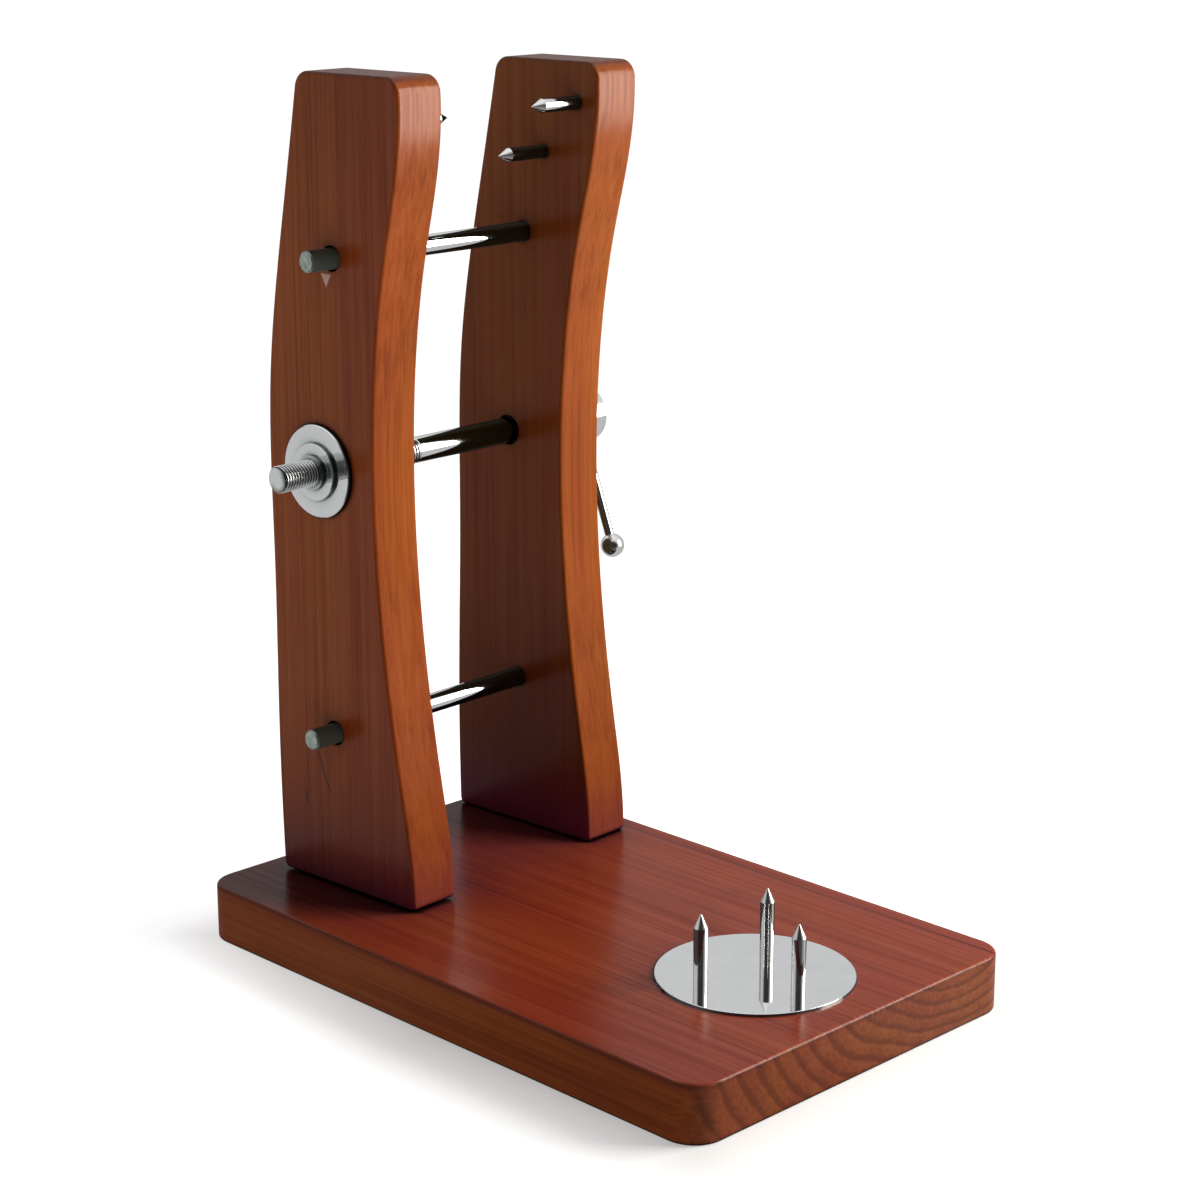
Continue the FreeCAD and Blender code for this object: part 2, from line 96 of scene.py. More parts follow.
# Wood colours: light, middle and dark
LEFT_TONES = ((0.57, 0.140, 0.017), (0.45, 0.100, 0.010), (0.26, 0.050, 0.007))
RIGHT_TONES = ((0.46, 0.127, 0.020), (0.37, 0.092, 0.013), (0.21, 0.046, 0.009))
BASE_TONES = ((0.53, 0.100, 0.030), (0.41, 0.064, 0.021), (0.22, 0.035, 0.015))

# Noise in the wood, squeezed along the grain: scale across, scale along, detail and roughness
GRAIN_SQUEEZE = 0.05
GRAIN_LAYERS = {
    "bend": (7, 24, 3, 0.5),
    "zone": (26, 30, 2, 0.5),
    "band": (90, 40, 2, 0.5),
    "streak": (420, 90, 4, 0.65),
    "fibre": (1300, 260, 3, 0.6),
    "pores": (2600, 700, 2, 0.7),
}
CLOUD_SCALE = 11
SEED_SHARES = (1.0, 1.7, 2.3)

# How noise darkens the wood: noise from, noise to, least and most
GRAIN_TONES = {
    "band": (0.35, 0.65, 0.0, 0.22),
    "streak": (0.35, 0.65, 0.0, 0.42),
    "fibre": (0.3, 0.7, 0.0, 0.12),
}
CLOUD_TONE = (0.35, 0.65, -0.08, 0.12)
ZONE_TINT = (0.93, 0.82, 1.12)

# Growth rings: darkness through one ring, bend in ring spacings, and strength on faces and end grain
RING_PROFILE = [(0.0, 0.25), (0.08, 0.0), (0.55, 0.22), (0.88, 1.0), (1.0, 0.3)]
RING_BEND = 2.6
RINGS_ON_FACES = 0.10
RINGS_ON_ENDS = 0.75
END_DARKNESS = 0.35

# How faces and ends of single boards differ in colour. The left upright's darker broad faces near the top,
# its darker narrow faces and the darker feet of both uprights are painted shade.
BASE_FLANK_TINT = (0.76, 1.05, 0.80)
BASE_END_TINT = (1.02, 1.28, 1.75)
LEFT_FRONT_TINT = (0.92, 0.86, 1.10)
LEFT_TOP_SHADE = (0.80, 0.78, 0.78)
LEFT_NARROW_SHADE = (0.86, 0.88, 1.00)
LEFT_FOOT_SHADE = (0.94, 0.87, 0.75)
RIGHT_BROAD_TINT = (1.01, 1.10, 0.58)
RIGHT_FOOT_SHADE = (0.90, 0.80, 0.65)

# Pores and wear on the wood, and painted shade: in the inner corners, in another colour low down, and
# along the seams. The painted shade low down differs between the base (its grain runs along Y) and the
# uprights (along Z). The paler worn edges are partly a painted highlight. MIRRORED_TINT darkens the wood
# where metal mirrors it.
PORE_COLOUR = (0.05, 0.012, 0.006)
WEAR_HIGHLIGHT_RADIUS = 1.4 * MM
WEAR_HIGHLIGHT_SHARE = 0.18
SHADE_REACH = 180 * MM
WIDE_SHADE_TINT = (0.60, 0.50, 0.60)
CORNER_SHADE_COLOUR = (0.15, 0.042, 0.012)
FOOT_SHADE_COLOUR = {"Y": (0.10, 0.028, 0.055), "Z": (0.18, 0.036, 0.12)}
CONTACT_SHADE_REACH = 5 * MM
CONTACT_SHADE_COLOUR = (0.010, 0.004, 0.004)
MIRRORED_TINT = (0.13, 0.30, 0.70)
COAT_ROUGHNESS = 0.22

# Marks in the wood: the base's vein, and on the left upright a chip and dark streaks. The chip's tip is
# at y, z, and its slope is half its width by its height; each streak has the y and z of its upper end,
# its slope and its length, in mm.
VEIN_X = 116.5 * MM
VEIN_WANDER = 4 * MM
VEIN_COLOUR = (0.09, 0.018, 0.012)
CHIP_TIP = (132.5 * MM, 389.3 * MM)
CHIP_HEIGHT = 7.5 * MM
CHIP_SLOPE = 0.55
CHIP_COLOUR = (0.98, 0.62, 0.50)
GRAIN_STREAKS = ((150.5, 116.0, 0.40, 26.0), (161.5, 90.0, 0.10, 10.0))
STREAK_COLOUR = (0.045, 0.014, 0.010)

# Chrome and zinc parts: tint, roughness, axis of the turning marks, reach of the painted corner shade, and
# nodes
CHROME_PARTS = {
    "clamp_chrome": ((0.83, 0.85, 0.84), 0.07, "X", 7 * MM,
                     ("left_washer", "right_washer", "clamp_nut", "spindle_head", "clamp_spindle")),
    "bar_chrome": ((0.78, 0.77, 0.75), 0.05, None, None, ("tommy_bar", "lower_ball", "upper_ball")),
    "plate_mirror": ((0.88, 0.90, 0.91), 0.02, None, None, ("spike_disc",)),
    "jaw_spike_steel": ((0.80, 0.79, 0.78), 0.06, "X", None,
                        ("left_upper_spike", "left_lower_spike", "right_upper_spike", "right_lower_spike")),
    "base_spike_steel": ((0.80, 0.79, 0.78), 0.05, "Z", None,
                         ("base_spike_front", "base_spike_left", "base_spike_right")),
    "fastener_zinc": ((0.66, 0.66, 0.63), 0.25, None, None,
                      ("spike_washers", "spike_nuts", "upright_screws")),
}

# Other metal colours; the dark ones for the chrome's inner corners and the thread's roots are painted shade
SPINDLE_STEEL = (0.82, 0.84, 0.83)
SMUDGE_COLOUR = (0.45, 0.45, 0.44)
METAL_CORNER_SHADE = (0.10, 0.15, 0.16)
CHROME_ROD = (0.80, 0.81, 0.82)
BARE_STEEL = (0.17, 0.20, 0.17)
CUT_STEEL = [(0.3, (0.22, 0.25, 0.22)), (0.55, (0.42, 0.47, 0.43)), (0.75, (0.62, 0.66, 0.62))]
THREAD_ROOT_SHADE = (0.04, 0.05, 0.045)


# ---------------------------------------------------------------- node helpers

class Graph:
    """Adds shader nodes to a node tree; most methods return an output socket."""

    def __init__(self, tree):
        self.tree = tree
        self.tree.nodes.clear()

    def add(self, kind):
        return self.tree.nodes.new(kind)

    def feed(self, socket, value):
        """Links an output socket, or sets a plain value."""
        if isinstance(value, bpy.types.NodeSocket):
            self.tree.links.new(value, socket)
        elif isinstance(value, (tuple, list)) and len(value) == 3 and socket.type == "RGBA":
            socket.default_value = (*value, 1.0)
        else:
            socket.default_value = value

    def position(self):
        return self.add("ShaderNodeTexCoord").outputs["Object"]

    def normal(self):
        return self.add("ShaderNodeNewGeometry").outputs["Normal"]

    def light_path(self, name):
        return self.add("ShaderNodeLightPath").outputs[name]

    def math(self, operation, a, b=0.0):
        node = self.add("ShaderNodeMath")
        node.operation = operation
        self.feed(node.inputs[0], a)
        self.feed(node.inputs[1], b)
        return node.outputs[0]

    def plus(self, a, b):
        return self.math("ADD", a, b)

    def minus(self, a, b):
        return self.math("SUBTRACT", a, b)

    def times(self, a, b):
        return self.math("MULTIPLY", a, b)

    def absolute(self, a):
        return self.math("ABSOLUTE", a)

    def inverse(self, share):
        return self.minus(1.0, share)

    def length(self, a, b):
        """Length of the hypotenuse over a and b."""
        return self.math("SQRT", self.plus(self.times(a, a), self.times(b, b)))

    def scaled(self, vector, scale, offset=(0, 0, 0)):
        node = self.add("ShaderNodeVectorMath")
        node.operation = "MULTIPLY_ADD"
        self.feed(node.inputs[0], vector)
        self.feed(node.inputs[1], scale)
        self.feed(node.inputs[2], offset)
        return node.outputs[0]

    def dot(self, a, b):
        node = self.add("ShaderNodeVectorMath")
        node.operation = "DOT_PRODUCT"
        self.feed(node.inputs[0], a)
        self.feed(node.inputs[1], b)
        return node.outputs["Value"]

    def split(self, vector):
        node = self.add("ShaderNodeSeparateXYZ")
        self.feed(node.inputs[0], vector)
        return node.outputs

    def joined(self, x, y, z):
        node = self.add("ShaderNodeCombineXYZ")
        for socket, value in zip(node.inputs, (x, y, z)):
            self.feed(socket, value)
        return node.outputs[0]

    def noise(self, vector, scale=1.0, detail=3.0, roughness=0.5):
        node = self.add("ShaderNodeTexNoise")
        self.feed(node.inputs["Vector"], vector)
        node.inputs["Scale"].default_value = scale
        node.inputs["Detail"].default_value = detail
        node.inputs["Roughness"].default_value = roughness
        return node.outputs["Fac"]

    def remap(self, value, low, high, to_low=0.0, to_high=1.0, smooth=False):
        node = self.add("ShaderNodeMapRange")
        node.interpolation_type = "SMOOTHSTEP" if smooth else "LINEAR"
        self.feed(node.inputs["Value"], value)
        self.feed(node.inputs["From Min"], low)
        self.feed(node.inputs["From Max"], high)
        self.feed(node.inputs["To Min"], to_low)
        self.feed(node.inputs["To Max"], to_high)
        return node.outputs[0]

    def ramp(self, value, stops):
        """stops are (place, grey level or colour) pairs, from 0 to 1."""
        node = self.add("ShaderNodeValToRGB")
        self.feed(node.inputs[0], value)
        elements = node.color_ramp.elements
        while len(elements) < len(stops):
            elements.new(0.5)
        for element, (place, colour) in zip(elements, stops):
            element.position = place
            element.color = (*colour, 1.0) if isinstance(colour, tuple) else (colour, colour, colour, 1.0)
        return node.outputs["Color"]

    def mix(self, factor, a, b, mode="MIX"):
        node = self.add("ShaderNodeMix")
        node.data_type = "RGBA"
        node.blend_type = mode
        node.clamp_factor = True
        self.feed(node.inputs["Factor"], factor)
        self.feed(node.inputs["A"], a)
        self.feed(node.inputs["B"], b)
        return node.outputs["Result"]

    def facing(self, normal, direction):
        """1 on faces that look along direction, 0 elsewhere."""
        return self.remap(self.dot(normal, direction), 0.6, 0.9)

    def square_to(self, normal, direction):
        """1 on faces that look along direction or against it, 0 elsewhere."""
        return self.remap(self.absolute(self.dot(normal, direction)), 0.6, 0.9)

    def openness(self, distance):
        """1 on open faces, falling towards 0.5 and less inside corners and under other parts."""
        node = self.add("ShaderNodeAmbientOcclusion")
        node.samples = 6
        self.feed(node.inputs["Distance"], distance)
        return node.outputs["AO"]

    def tinted(self, factor, colour, tint):
        """colour multiplied by tint, as far as factor says."""
        return self.mix(factor, colour, tint, "MULTIPLY")

    def bump(self, height, distance):
        node = self.add("ShaderNodeBump")
        self.feed(node.inputs["Height"], height)
        node.inputs["Distance"].default_value = distance
        node.inputs["Strength"].default_value = 0.5
        return node.outputs[0]

    def shader(self, kind, **values):
        """A shader node with its inputs fed by name, _ standing for a space."""
        node = self.add(kind)
        for name, value in values.items():
            self.feed(node.inputs[name.replace("_", " ")], value)
        return node.outputs[0]

    def mixed_shader(self, factor, first, second):
        node = self.add("ShaderNodeMixShader")
        self.feed(node.inputs[0], factor)
        self.feed(node.inputs[1], first)
        self.feed(node.inputs[2], second)
        return node.outputs[0]

    def surface(self, kind, shader):
        """Makes shader the tree's output; kind is Material or World."""
        output = self.add("ShaderNodeOutput" + kind)
        self.feed(output.inputs["Surface"], shader)


def new_material(name):
    material = bpy.data.materials.new(name)
    material.use_nodes = True
    return material, Graph(material.node_tree)


# ---------------------------------------------------------------- wood

def worn_highlit_edges(graph, radius):
    """1 on rounded edges, which are partly worn and partly a painted highlight; 0 on open faces."""
    bevel = graph.add("ShaderNodeBevel")
    bevel.samples = 4
    bevel.inputs["Radius"].default_value = radius
    facing = graph.dot(bevel.outputs[0], graph.normal())
    return graph.remap(facing, 0.995, 0.90, smooth=True)


def growth_rings(graph, across, other, pith, flatness, spacing, bend):
    """0 in a ring's pale wood to 1 in its dark wood; bend is slow noise that makes the rings uneven."""
    off_across = graph.times(graph.minus(across, pith[0]), flatness)
    off_other = graph.minus(other, pith[1])
    radius = graph.plus(graph.length(off_across, off_other), graph.times(bend, RING_BEND * spacing))
    ring = graph.math("FRACT", graph.math("DIVIDE", radius, spacing))
    return graph.ramp(ring, RING_PROFILE)


def painted_corner_shade(graph, grain_axis, z, normal, openness, colour):
    """From the top of the base up, painted shade dulls the inner corners and darkens them further, in
    another colour low down; painted contact shade makes all seams nearly black."""
    above_base = graph.remap(z, 30 * MM, 34 * MM)
    wide_shade = graph.times(graph.remap(openness, 0.95, 0.50), above_base)
    colour = graph.tinted(wide_shade, colour, WIDE_SHADE_TINT)
    corner = graph.times(graph.remap(openness, 0.82, 0.48), above_base)
    front = graph.dot(normal, (0, -1, 0))
    corner = graph.times(corner, graph.remap(front, 0.5, 0.9, 0.70, 0.25))
    corner_shade = graph.mix(graph.remap(z, 85 * MM, 45 * MM), CORNER_SHADE_COLOUR, FOOT_SHADE_COLOUR[grain_axis])
    colour = graph.mix(corner, colour, corner_shade)
    # Painted contact shade along the seams.
    contact_shade = graph.remap(graph.openness(CONTACT_SHADE_REACH), 0.80, 0.45)
    return graph.mix(contact_shade, colour, CONTACT_SHADE_COLOUR)


def coat_weight(graph, grain_axis, z, normal, openness, streak):
    """The clear coat follows the streaks. It is thin on the flanks of the base; on the uprights it is
    worn low on the narrow faces and dusty in the inner corners."""
    coat = graph.remap(streak, 0.35, 0.65, 0.58, 0.40)
    broad = graph.square_to(normal, (1, 0, 0))
    if grain_axis == "Y":
        return graph.times(coat, graph.remap(broad, 0.0, 1.0, 1.0, 0.3))
    worn_low = graph.math("MAXIMUM", graph.remap(z, 0.24, 0.44, 0.40, 1.0), broad)
    dusty = graph.remap(openness, 0.82, 0.50, 1.0, 0.40)
    return graph.times(coat, graph.times(worn_low, dusty))


def wood(name, grain_axis, pith, flatness, ring_spacing, tones, seed, dress):
    """Stained wood with a satin finish. pith is a point on the growth rings' centre line, in metres,
    across the grain; a flatness under 1 makes the rings oval; tones are the light, middle and dark
    colours; seed shifts the pattern; dress adds what is special to one board."""
    material, graph = new_material(name)
    light, middle, dark = tones
    place = graph.position()
    normal = graph.normal()
    x, y, z = graph.split(place)
    across, other, along = {"Y": (x, z, y), "Z": (x, y, z)}[grain_axis]
    grain = {"Y": (0, 1, 0), "Z": (0, 0, 1)}[grain_axis]
    shift = tuple(seed * share for share in SEED_SHARES)
    flow = graph.joined(across, other, graph.times(along, GRAIN_SQUEEZE))
    layers = {}
    for layer, (wide, long, detail, roughness) in GRAIN_LAYERS.items():
        spread = graph.scaled(flow, (wide, wide, long), shift)
        layers[layer] = graph.noise(spread, detail=detail, roughness=roughness)
    cloud = graph.noise(graph.scaled(place, (CLOUD_SCALE, CLOUD_SCALE, CLOUD_SCALE), shift), detail=2)

    end_grain = graph.square_to(normal, grain)
    rings = growth_rings(graph, across, other, pith, flatness, ring_spacing, layers["bend"])
    tone = graph.times(rings, graph.remap(end_grain, 0.0, 1.0, RINGS_ON_FACES, RINGS_ON_ENDS))
    for layer, span in GRAIN_TONES.items():
        tone = graph.plus(tone, graph.remap(layers[layer], *span))
    tone = graph.plus(tone, graph.remap(cloud, *CLOUD_TONE))
    colour = graph.ramp(tone, [(0.0, light), (0.5, middle), (1.0, dark)])
    colour = graph.tinted(graph.remap(layers["zone"], 0.40, 0.60), colour, ZONE_TINT)
    colour = graph.mix(graph.times(end_grain, END_DARKNESS), colour, dark)
    colour = dress(graph, place, normal, colour)

    pores = graph.remap(layers["pores"], 0.64, 0.74)
    colour = graph.mix(graph.times(pores, 0.30), colour, PORE_COLOUR)
    # Paler rounded edges: partly wear, partly a painted highlight.
    colour = graph.mix(graph.times(worn_highlit_edges(graph, WEAR_HIGHLIGHT_RADIUS), WEAR_HIGHLIGHT_SHARE), colour, light)
    openness = graph.openness(SHADE_REACH)
    # Painted shade: the inner corners darker, in another colour low down, and the seams nearly black.
    colour = painted_corner_shade(graph, grain_axis, z, normal, openness, colour)
    colour = graph.tinted(graph.light_path("Is Glossy Ray"), colour, MIRRORED_TINT)

    relief = graph.bump(graph.minus(graph.times(layers["fibre"], 0.5), pores), 0.03 * MM)
    rough = graph.remap(layers["streak"], 0.3, 0.7, 0.40, 0.50)
    coat = coat_weight(graph, grain_axis, z, normal, openness, layers["streak"])
    shader = graph.shader("ShaderNodeBsdfPrincipled", Base_Color=colour, Roughness=rough, Normal=relief,
                          Specular_IOR_Level=0.0, Coat_Weight=coat, Coat_Roughness=COAT_ROUGHNESS,
                          Coat_Normal=relief)
    graph.surface("Material", shader)
    return material


def dress_base(graph, place, normal, colour):
    """Browner flanks, paler and less red ends, and one dark vein along the top near the right edge."""
    flank = graph.remap(graph.absolute(graph.dot(normal, (0, 0, 1))), 0.9, 0.5)
    colour = graph.tinted(flank, colour, BASE_FLANK_TINT)
    colour = graph.tinted(graph.square_to(normal, (0, 1, 0)), colour, BASE_END_TINT)
    x = graph.split(place)[0]
    wander = graph.times(graph.noise(graph.scaled(place, (3, 9, 3)), detail=2), VEIN_WANDER)
    off = graph.absolute(graph.minus(graph.plus(x, wander), VEIN_X + VEIN_WANDER / 2))
    vein = graph.times(graph.remap(off, 1.2 * MM, 0.4 * MM), graph.inverse(flank))
    return graph.mix(graph.times(vein, 0.65), colour, VEIN_COLOUR)


def grain_streak(graph, y, z, streak):
    """1 along a thin wandering line on the plane of y and z; streak is (y, z, slope, length) in mm."""
    start_y, start_z, slope, length = streak
    down = graph.minus(start_z * MM, z)
    line = graph.minus(start_y * MM, graph.times(down, slope))
    wander = graph.times(graph.noise(graph.joined(0.0, 0.0, graph.times(z, 90)), detail=2), 4 * MM)
    off = graph.absolute(graph.plus(graph.minus(y, line), graph.plus(wander, -2 * MM)))
    ends = graph.times(graph.remap(down, 0.0, 3 * MM), graph.remap(down, length * MM, 0.8 * length * MM))
    return graph.times(graph.remap(off, 1.4 * MM, 0.4 * MM), ends)


def chip(graph, y, z):
    """1 inside a small triangle that stands on its tip."""
    over_tip = graph.minus(z, CHIP_TIP[1])
    aside = graph.absolute(graph.minus(y, CHIP_TIP[0]))
    inside = graph.minus(graph.times(over_tip, CHIP_SLOPE), aside)
    under_top = graph.remap(over_tip, CHIP_HEIGHT + 0.5 * MM, CHIP_HEIGHT)
    return graph.times(graph.remap(inside, 0.0, 0.5 * MM), under_top)


def dress_left(graph, place, normal, colour):
    """Oranger towards the back; darker at the top, on the narrow faces and towards the foot, as painted
    shade;
    with a small pale chip under the upper hole and dark grain streaks under the lower one."""
    y, z = graph.split(place)[1:]
    broad = graph.square_to(normal, (1, 0, 0))
    front = graph.times(broad, graph.remap(y, 0.165, 0.105))
    colour = graph.tinted(front, colour, LEFT_FRONT_TINT)
    # Painted shade: darker near the top of the broad faces, on the narrow faces and towards the foot.
    colour = graph.tinted(graph.times(broad, graph.remap(z, 0.40, 0.50)), colour, LEFT_TOP_SHADE)
    colour = graph.tinted(graph.inverse(broad), colour, LEFT_NARROW_SHADE)
    colour = graph.tinted(graph.remap(z, 0.34, 0.18), colour, LEFT_FOOT_SHADE)
    outer = graph.facing(normal, (-1, 0, 0))
    colour = graph.mix(graph.times(chip(graph, y, z), outer), colour, CHIP_COLOUR)
    for streak in GRAIN_STREAKS:
        mark = graph.times(grain_streak(graph, y, z, streak), outer)
        colour = graph.mix(graph.times(mark, 0.7), colour, STREAK_COLOUR)
    return colour


def dress_right(graph, place, normal, colour):
    """Less blue on its broad faces; deeper orange and darker towards the foot, as painted shade."""
    z = graph.split(place)[2]
    colour = graph.tinted(graph.square_to(normal, (1, 0, 0)), colour, RIGHT_BROAD_TINT)
    # Painted shade towards the foot.
    return graph.tinted(graph.remap(z, 0.30, 0.10), colour, RIGHT_FOOT_SHADE)


# ---------------------------------------------------------------- metal

def smudged(graph, smudge, tint):
    """A metal's tint, a little duller under its smudges."""
    return graph.mix(graph.remap(smudge, 0.4, 0.75, 0.0, 0.12), tint, SMUDGE_COLOUR)


def guide_steel():
    """Chrome rod whose left end, past the board it slides in, is bare dark steel with a mottled face."""
    material, graph = new_material("guide_steel")
    place = graph.position()
    bare_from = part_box("left_upright")[0].x
    bare = graph.remap(graph.split(place)[0], bare_from + 6 * MM, bare_from + 3 * MM, smooth=True)
    face = graph.remap(graph.dot(graph.normal(), (-1, 0, 0)), 0.5, 0.9)
    mottle = graph.ramp(graph.noise(place, scale=420, detail=3, roughness=0.7), CUT_STEEL)
    colour = graph.mix(bare, CHROME_ROD, graph.mix(face, BARE_STEEL, mottle))
    smudge = graph.noise(place, scale=60, detail=4, roughness=0.6)
    rough = graph.plus(graph.remap(smudge, 0.35, 0.7, 0.035, 0.07), graph.times(bare, 0.28))
    dull = graph.times(bare, graph.inverse(face))
    metallic = graph.remap(dull, 0.0, 1.0, 1.0, 0.2)
    shader = graph.shader("ShaderNodeBsdfPrincipled", Base_Color=colour, Metallic=metallic, Roughness=rough)
    graph.surface("Material", shader)
    return material


def chrome(name, tint, roughness, lathe_axis, corner_shade):
    """Bright plate with faint smudges and, on turned parts, fine rings about lathe_axis; the last argument
    is how far, in metres, its inner corners are painted dark, as shade. Both can be None."""
    material, graph = new_material(name)
    place = graph.position()
    smudge = graph.noise(place, scale=55, detail=4, roughness=0.6)
    speck = graph.noise(place, scale=900, detail=2)
    rough = graph.plus(graph.remap(smudge, 0.35, 0.7, roughness, roughness * 2.0),
                       graph.remap(speck, 0.5, 0.8, 0.0, 0.02))
    colour = smudged(graph, smudge, tint)
    # Painted shade in the inner corners.
    if corner_shade:
        colour = graph.tinted(graph.remap(graph.openness(corner_shade), 0.90, 0.50), colour, METAL_CORNER_SHADE)
    values = {"Base_Color": colour, "Metallic": 1.0, "Roughness": rough}
    if lathe_axis:
        stretch = {"X": (3200, 60, 60), "Z": (60, 60, 3200)}[lathe_axis]
        rings = graph.noise(graph.scaled(place, stretch), detail=2)
        values["Normal"] = graph.bump(rings, 0.01 * MM)
    graph.surface("Material", graph.shader("ShaderNodeBsdfPrincipled", **values))
    return material


def thread_steel(name, tint):
    """Bright steel; the thread's crests are rougher, and its roots are painted dark, as shade in the
    grooves.
    """
    material, graph = new_material(name)
    axis, centre, radius = spindle_line()
    place = graph.position()
    arm = graph.scaled(place, (1, 1, 1), tuple(-centre))
    along = graph.dot(arm, tuple(axis))
    square = graph.minus(graph.dot(arm, arm), graph.times(along, along))
    depth = graph.minus(radius, graph.math("SQRT", square))
    root = graph.remap(depth, 0.25 * MM, 0.6 * MM)
    # along is 0 at the hinge's point, and the thread ends a little over 20 mm left of it
    threaded = graph.remap(along, -20 * MM, -30 * MM)
    smudge = graph.noise(place, scale=70, detail=4, roughness=0.6)
    side = graph.remap(graph.absolute(graph.dot(graph.normal(), tuple(axis))), 0.97, 0.9)
    # Painted shade in the thread's roots.
    colour = graph.mix(graph.times(root, side), smudged(graph, smudge, tint), THREAD_ROOT_SHADE)
    rough = graph.remap(threaded, 0.0, 1.0, 0.06, 0.24)
    shader = graph.shader("ShaderNodeBsdfPrincipled", Base_Color=colour, Metallic=1.0, Roughness=rough)
    graph.surface("Material", shader)
    return material


def paint(material, *names):
    """Gives CAD nodes a material."""
    for name in names:
        mesh = nodes[name].data
        mesh.materials.clear()
        mesh.materials.append(material)


def make_materials():
    base_wood = wood("base_wood", "Y", (0.080, 0.057), 0.57, 0.0078, BASE_TONES, 3.1, dress_base)
    left_wood = wood("left_wood", "Z", (-0.05, 0.55), 1.0, 0.009, LEFT_TONES, 7.7, dress_left)
    right_wood = wood("right_wood", "Z", (0.10, 0.60), 1.0, 0.009, RIGHT_TONES, 12.9, dress_right)
    paint(base_wood, "base_board")
    paint(left_wood, "left_upright")
    paint(right_wood, "right_upright")
    paint(guide_steel(), "upper_guide_rod", "lower_guide_rod")
    for name, (tint, roughness, lathe_axis, corner_shade, painted) in CHROME_PARTS.items():
        paint(chrome(name, tint, roughness, lathe_axis, corner_shade), *painted)
    threaded_spindle().data.materials.append(thread_steel("spindle_chrome", SPINDLE_STEEL))


# ---------------------------------------------------------------- spindle with a real helix

def joint(name):
    """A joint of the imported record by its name."""
    return next(entry for entry in frame["joints"] if entry["name"] == name)


def thread_radius(along, turn, radius):
    """Radius of the thread's surface; along is from its start, turn is a share of a full turn. The start
    is chamfered, and the groove runs out over the last pitch."""
    phase = (along / THREAD_PITCH - turn) % 1.0
    from_crest = 1.0 - abs(2.0 * phase - 1.0)
    groove = min(1.0, max(0.0, (from_crest - CREST_SHARE) / FLANK_SHARE))
    run_out = min(1.0, max(0.0, (THREAD_LENGTH - along) / THREAD_PITCH))
    cut = radius - THREAD_DEPTH * groove * run_out
    return min(cut, radius - THREAD_DEPTH + along)


def spindle_line():
    """The spindle's axis, a point on it, and the spindle's radius."""
    hinge = joint("spindle_turn")
    axis = -Vector(hinge["axis"]).normalized()
    centre = Vector(hinge["pos_m"])
    spots = [vertex.co - centre for vertex in nodes["clamp_spindle"].data.vertices]
    radius = max((spot - axis * spot.dot(axis)).length for spot in spots)
    return axis, centre, radius


def spindle_rings(shape):
    """Rings of vertices along the spindle, from the start of the thread to the chamfered far end."""
    axis, centre, radius = spindle_line()
    side = axis.cross(Vector((0, 0, 1))).normalized()
    top = axis.cross(side)
    reaches = [(vertex.co - centre).dot(axis) for vertex in nodes["clamp_spindle"].data.vertices]
    start = min(reaches)
    length = max(reaches) - start
    step = THREAD_PITCH / RINGS_PER_PITCH
    places = [index * step for index in range(int(THREAD_LENGTH / step) + 2)]
    places += [length - END_CHAMFER, length]
    rings = []
    for along in places:
        ring = []
        for point in range(RING_POINTS):
            turn = point / RING_POINTS
            angle = 2 * math.pi * turn
            reach = thread_radius(along, turn, radius)
            if along == length:
                reach = radius - END_CHAMFER
            direction = side * math.cos(angle) + top * math.sin(angle)
            ring.append(shape.verts.new(centre + axis * (start + along) + direction * reach))
        rings.append(ring)
    return rings


def threaded_spindle():
    """The spindle as one closed mesh with a right-handed helical thread, instead of the CAD's rings."""
    shape = bmesh.new()
    rings = spindle_rings(shape)
    for first, second in zip(rings, rings[1:]):
        for point in range(RING_POINTS):
            after = (point + 1) % RING_POINTS
            shape.faces.new((first[point], first[after], second[after], second[point]))
    shape.faces.new(list(reversed(rings[0])))
    shape.faces.new(rings[-1])
    bmesh.ops.recalc_face_normals(shape, faces=shape.faces)
    mesh = bpy.data.meshes.new("threaded_spindle")
    shape.to_mesh(mesh)
    shape.free()
    mesh.shade_smooth()
    mesh.set_sharp_from_angle(angle=math.radians(SHARP_ANGLE))
    spindle = bpy.data.objects.new("threaded_spindle", mesh)
    bpy.context.scene.collection.objects.link(spindle)
    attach(spindle, "spindle")
    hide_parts("clamp_spindle")
    return spindle


# ---------------------------------------------------------------- stage

# The direction along the floor from the object towards the camera
CAMERA_SIDE = (math.sin(math.radians(VIEW_AZIMUTH)), -math.cos(math.radians(VIEW_AZIMUTH)), 0.0)


def floor_glow(graph):
    """The floor's brightness to the camera: white, but for a soft shadow around the base."""
    x, y = graph.split(graph.position())[:2]
    half = (cad_base[1] - cad_base[0]) / 2
    past_x = graph.math("MAXIMUM", graph.minus(graph.absolute(x), half.x), 0.0)
    past_y = graph.math("MAXIMUM", graph.minus(graph.absolute(y), half.y), 0.0)
    gap = graph.plus(graph.length(past_x, past_y), graph.remap(y, 0.0, half.y, 0.0, SHADOW_BACK))
    return graph.ramp(graph.remap(gap, 0.0, SHADOW_REACH), SHADOW_LEVELS)


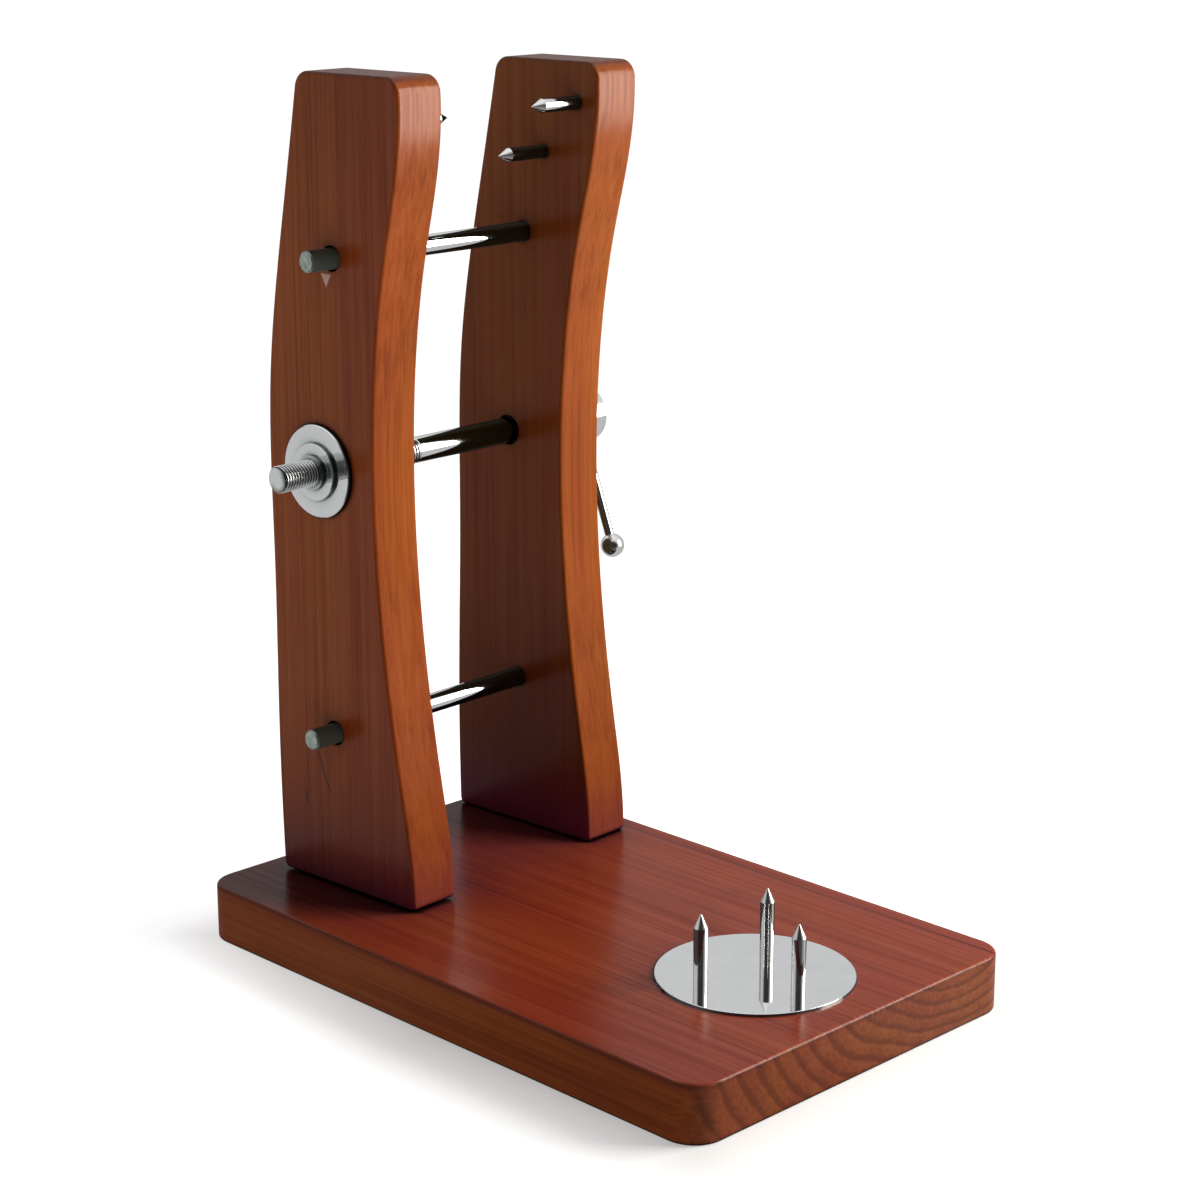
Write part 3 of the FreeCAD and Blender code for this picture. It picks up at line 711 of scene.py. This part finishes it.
def make_floor():
    """A pale floor: white to the camera but for the soft shadow, greyer in reflections."""
    reach = FLOOR_REACH
    mesh = bpy.data.meshes.new("floor")
    corners = [(-reach, -reach, 0), (reach, -reach, 0), (reach, reach, 0), (-reach, reach, 0)]
    mesh.from_pydata(corners, [], [(0, 1, 2, 3)])
    floor = bpy.data.objects.new("floor", mesh)
    bpy.context.scene.collection.objects.link(floor)
    material, graph = new_material("floor_white")
    seen = graph.shader("ShaderNodeBsdfPrincipled", Base_Color=(0.9, 0.9, 0.9), Roughness=0.9,
                        Specular_IOR_Level=0.0, Emission_Color=(1, 1, 1),
                        Emission_Strength=floor_glow(graph))
    direction = graph.add("ShaderNodeVectorMath")
    direction.operation = "NORMALIZE"
    graph.feed(direction.inputs[0], graph.scaled(graph.position(), (1, 1, 0)))
    towards_camera = graph.dot(direction.outputs[0], CAMERA_SIDE)
    level = graph.remap(towards_camera, 0.35, 0.85, FLOOR_MIRRORED, DARK_SIDE, smooth=True)
    mirrored = graph.shader("ShaderNodeEmission", Color=(1, 1, 1), Strength=level)
    bounced = graph.shader("ShaderNodeEmission", Color=(1, 1, 1), Strength=FLOOR_BOUNCE)
    hidden = graph.mixed_shader(graph.light_path("Is Glossy Ray"), bounced, mirrored)
    graph.surface("Material", graph.mixed_shader(graph.light_path("Is Camera Ray"), hidden, seen))
    mesh.materials.append(material)


def make_world():
    """White to the camera; to mirrors a studio: dark behind the camera, brighter towards the top."""
    world = bpy.data.worlds.new("studio")
    bpy.context.scene.world = world
    world.use_nodes = True
    graph = Graph(world.node_tree)
    direction = graph.add("ShaderNodeTexCoord").outputs["Generated"]
    height = graph.remap(graph.split(direction)[2], -1.0, 1.0)
    walls = graph.ramp(height, WALLS_MIRRORED)
    towards_camera = graph.dot(direction, CAMERA_SIDE)
    dark = graph.remap(towards_camera, 0.40, 0.80, 1.0, DARK_SIDE, smooth=True)
    mirrored = graph.shader("ShaderNodeBackground", Color=walls, Strength=dark)
    ambient = graph.shader("ShaderNodeBackground", Color=(1, 1, 1), Strength=AMBIENT)
    white = graph.shader("ShaderNodeBackground", Color=(1, 1, 1), Strength=1.05)
    hidden = graph.mixed_shader(graph.light_path("Is Glossy Ray"), ambient, mirrored)
    graph.surface("World", graph.mixed_shader(graph.light_path("Is Camera Ray"), hidden, white))


def make_key_light():
    """A softbox at the front right; its radiance is what a white wall at the target would show."""
    way = KEY_TARGET - KEY_PLACE
    light = bpy.data.lights.new("key", "AREA")
    light.shape = "RECTANGLE"
    light.size = KEY_WIDTH
    light.size_y = KEY_HEIGHT
    light.energy = KEY_RADIANCE * (math.pi * way.length) ** 2
    light.color = KEY_COLOUR
    lamp = bpy.data.objects.new("key", light)
    bpy.context.scene.collection.objects.link(lamp)
    lamp.location = KEY_PLACE
    lamp.rotation_euler = way.to_track_quat("-Z", "Y").to_euler()


def make_camera():
    azimuth = math.radians(VIEW_AZIMUTH)
    elevation = math.radians(VIEW_ELEVATION)
    back = Vector((math.sin(azimuth) * math.cos(elevation), -math.cos(azimuth) * math.cos(elevation),
                   math.sin(elevation)))
    right = Vector((math.cos(azimuth), math.sin(azimuth), 0))
    up = back.cross(right)
    data = bpy.data.cameras.new("camera")
    data.lens = LENS_MM
    data.sensor_width = SENSOR_MM
    data.clip_end = 100
    camera = bpy.data.objects.new("camera", data)
    bpy.context.scene.collection.objects.link(camera)
    turn = Matrix((right, up, back)).transposed().to_4x4()
    camera.matrix_world = Matrix.Translation(VIEW_POINT + back * VIEW_DISTANCE) @ turn
    bpy.context.scene.camera = camera


make_materials()
make_floor()
make_world()
make_key_light()
make_camera()
bpy.context.scene.view_settings.view_transform = "Standard"
